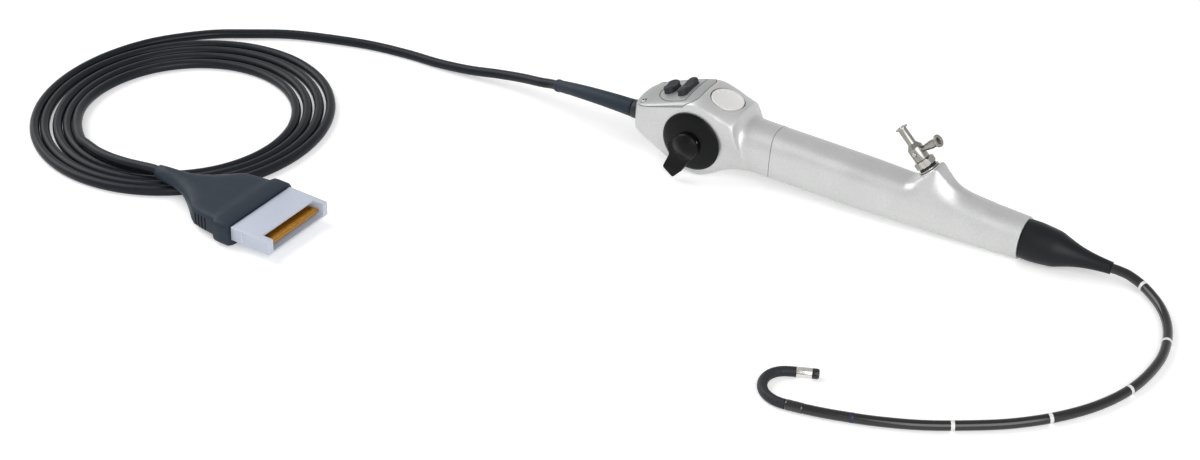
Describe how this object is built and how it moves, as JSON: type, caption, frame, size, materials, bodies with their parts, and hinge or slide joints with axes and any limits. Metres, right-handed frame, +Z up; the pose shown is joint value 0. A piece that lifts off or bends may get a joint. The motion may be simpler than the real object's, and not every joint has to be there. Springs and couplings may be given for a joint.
{
  "type": "flexible endoscope",
  "caption": "Handheld flexible endoscope: silver control handle with thumb lever, slim tube with a bending tip, angled instrument port and a coiled video cable with a flat connector.",
  "frame": {"origin": "on the table, under the middle of the control handle with its port and boot (the tube, cable and plug are cords)", "axes": "+X along the handle from its cable end to its boot, +Z up from the table it lies on, -Y to the lever's side"},
  "size_m": [0.6786, 0.234, 0.0616],
  "materials": {
    "lacquer": "satin silver lacquer on a cast and turned aluminium housing",
    "cover_lacquer": "satin grey lacquer",
    "steel": "turned and polished stainless steel",
    "aluminium": "machined aluminium",
    "brass": "turned brass",
    "black_plastic": "black moulded plastic, slightly glossy",
    "black_rubber": "soft black elastomer",
    "black_sheath": "smooth black polymer sheath",
    "slate_sheath": "slate-blue silicone cable jacket",
    "board": "green circuit board",
    "white_plastic": "pale moulded connector shell",
    "gold": "gold-plated contacts",
    "lens": "sealed lens glass",
    "window": "light guide window"
  },
  "bodies": {
    "handle": {"axle_bush": "brass", "base_link": "steel", "bending_rubber": "black_rubber", "cable_coil": "slate_sheath", "cable_gland": "steel", "cable_lead": "slate_sheath", "cable_tail": "slate_sheath", "channel_plug": "steel", "channel_tube": "black_plastic", "chassis": "aluminium", "contact_block": "black_plastic", "contact_tongue": "gold", "cover_screw_far": "steel", "cover_screw_near": "steel", "distal_boot": "black_rubber", "front_switch": "steel", "grip_housing": "lacquer", "head_housing": "lacquer", "head_top_cover": "cover_lacquer", "image_board": "board", "insertion_tube": "black_sheath", "lower_pull_wire": "steel", "plug_overmould": "slate_sheath", "plug_shell": "white_plastic", "port_body": "steel", "port_nut": "steel", "port_ring": "steel", "port_seal": "black_rubber", "rear_switch": "steel", "round_board": "board", "round_switch": "steel", "side_arm": "steel", "strain_relief": "slate_sheath", "switch_board": "board", "tube_binding": "black_rubber", "upper_pull_wire": "steel"},
    "lever": {"lever": "black_plastic", "lever_dome": "black_plastic", "lever_axle": "steel", "wire_drum": "brass", "lever_pin": "steel"},
    "rear_button": {"rear_button": "black_rubber"},
    "front_button": {"front_button": "black_rubber"},
    "round_button": {"round_button": "aluminium"},
    "link_1": {"bending_link_1": "steel"},
    "link_2": {"bending_link_2": "steel"},
    "link_3": {"bending_link_3": "steel"},
    "link_4": {"bending_link_4": "steel"},
    "link_5": {"bending_link_5": "steel"},
    "link_6": {"bending_link_6": "steel"},
    "link_7": {"bending_link_7": "steel"},
    "link_8": {"bending_link_8": "steel", "tip_sleeve": "steel", "tip_insert": "black_plastic", "objective_lens": "lens", "light_window_left": "window", "light_window_right": "window"}
  },
  "joints": [
    {"name": "lever_hinge", "type": "hinge", "parent": "handle", "child": "lever", "pos_m": [-0.101, -0.0121, 0.02414], "axis": [0, -1, 0], "range_deg": [-62.4, 9.35]},
    {"name": "rear_button_press", "type": "slide", "parent": "handle", "child": "rear_button", "axis": [0.2722, 0, -0.9622], "range_m": [0, 0.001], "stiffness_N_per_m": 300, "springref_m": -0.0005},
    {"name": "front_button_press", "type": "slide", "parent": "handle", "child": "front_button", "axis": [0.2722, 0, -0.9622], "range_m": [0, 0.001], "stiffness_N_per_m": 300, "springref_m": -0.0005},
    {"name": "round_button_press", "type": "slide", "parent": "handle", "child": "round_button", "axis": [-0.2411, 0, -0.9705], "range_m": [0, 0.001], "stiffness_N_per_m": 300, "springref_m": -0.0005},
    {"name": "bend_1", "type": "hinge", "parent": "handle", "child": "link_1", "pos_m": [0.04321, -0.18541, 0.00285], "axis": [0, 0, -1], "range_deg": [-25.9, 3.9], "deforming": ["bending_rubber"]},
    {"name": "bend_2", "type": "hinge", "parent": "link_1", "child": "link_2", "pos_m": [0.03781, -0.18465, 0.00285], "axis": [0, 0, -1], "range_deg": [-31.6, 4.8], "deforming": ["bending_rubber"]},
    {"name": "bend_3", "type": "hinge", "parent": "link_2", "child": "link_3", "pos_m": [0.03293, -0.18223, 0.00285], "axis": [0, 0, -1], "range_deg": [-33.1, 5], "deforming": ["bending_rubber"]},
    {"name": "bend_4", "type": "hinge", "parent": "link_3", "child": "link_4", "pos_m": [0.02912, -0.17833, 0.00285], "axis": [0, 0, -1], "range_deg": [-34.5, 5.2], "deforming": ["bending_rubber"]},
    {"name": "bend_5", "type": "hinge", "parent": "link_4", "child": "link_5", "pos_m": [0.02687, -0.17337, 0.00285], "axis": [0, 0, -1], "range_deg": [-35.9, 5.4], "deforming": ["bending_rubber"]},
    {"name": "bend_6", "type": "hinge", "parent": "link_5", "child": "link_6", "pos_m": [0.02654, -0.16793, 0.00285], "axis": [0, 0, -1], "range_deg": [-44.5, 6.7], "deforming": ["bending_rubber"]},
    {"name": "bend_7", "type": "hinge", "parent": "link_6", "child": "link_7", "pos_m": [0.02862, -0.16289, 0.00285], "axis": [0, 0, -1], "range_deg": [-44.5, 6.7], "deforming": ["bending_rubber"]},
    {"name": "bend_8", "type": "hinge", "parent": "link_7", "child": "link_8", "pos_m": [0.03268, -0.15926, 0.00285], "axis": [0, 0, -1], "range_deg": [-37.4, 5.6], "deforming": ["bending_rubber"]}
  ],
  "couplings": [
    {"joint": "bend_1", "follows": "lever_hinge", "ratio": 0.414},
    {"joint": "bend_2", "follows": "lever_hinge", "ratio": 0.506},
    {"joint": "bend_3", "follows": "lever_hinge", "ratio": 0.529},
    {"joint": "bend_4", "follows": "lever_hinge", "ratio": 0.552},
    {"joint": "bend_5", "follows": "lever_hinge", "ratio": 0.575},
    {"joint": "bend_6", "follows": "lever_hinge", "ratio": 0.713},
    {"joint": "bend_7", "follows": "lever_hinge", "ratio": 0.713},
    {"joint": "bend_8", "follows": "lever_hinge", "ratio": 0.598}
  ]
}
